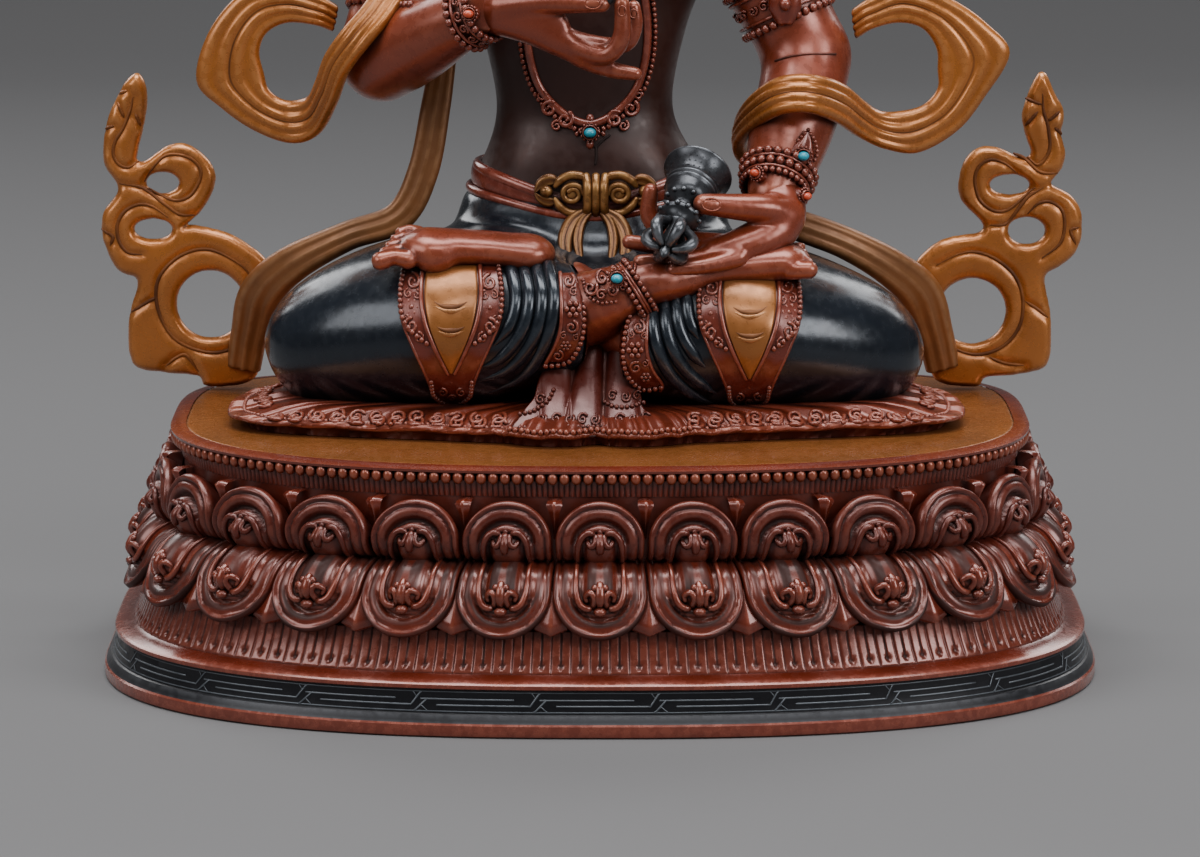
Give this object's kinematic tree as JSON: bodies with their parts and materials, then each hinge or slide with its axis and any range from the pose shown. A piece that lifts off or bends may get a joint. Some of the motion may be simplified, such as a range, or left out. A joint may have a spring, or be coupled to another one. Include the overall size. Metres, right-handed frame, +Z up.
{
  "type": "seated vajrasattva figure on a lotus plinth",
  "caption": "Cast copper statue of a crossed-legged figure with a bell and a vajra, scarf loops at its arms and scarf ends on its double lotus plinth",
  "frame": {"origin": "middle of the plinth's flat underside, on the surface that the statue stands on", "axes": "+Z up, the figure faces -Y, +X is the figure's own left"},
  "size_m": [0.2836, 0.183, 0.311],
  "materials": {
    "red_copper": "oxidised red-brown copper, polished on the high spots",
    "ochre_copper": "ochre and gold patina over carved copper",
    "dark_copper": "blue-black patina, glossy",
    "turquoise": "polished turquoise cabochon",
    "coral": "polished coral cabochon"
  },
  "bodies": {
    "root": {"lotus_base": "red_copper", "figure": "red_copper", "scarf_loop_right": "ochre_copper", "scarf_loop_left": "ochre_copper", "scarf_tail_right": "ochre_copper", "scarf_tail_left": "ochre_copper", "vajra": "dark_copper", "bell": "dark_copper", "pendant_turquoise": "turquoise", "left_wrist_turquoise": "turquoise", "ankle_turquoise": "turquoise", "right_wrist_coral": "coral", "left_wrist_coral_front": "coral", "left_wrist_coral_side": "coral"}
  },
  "joints": []
}
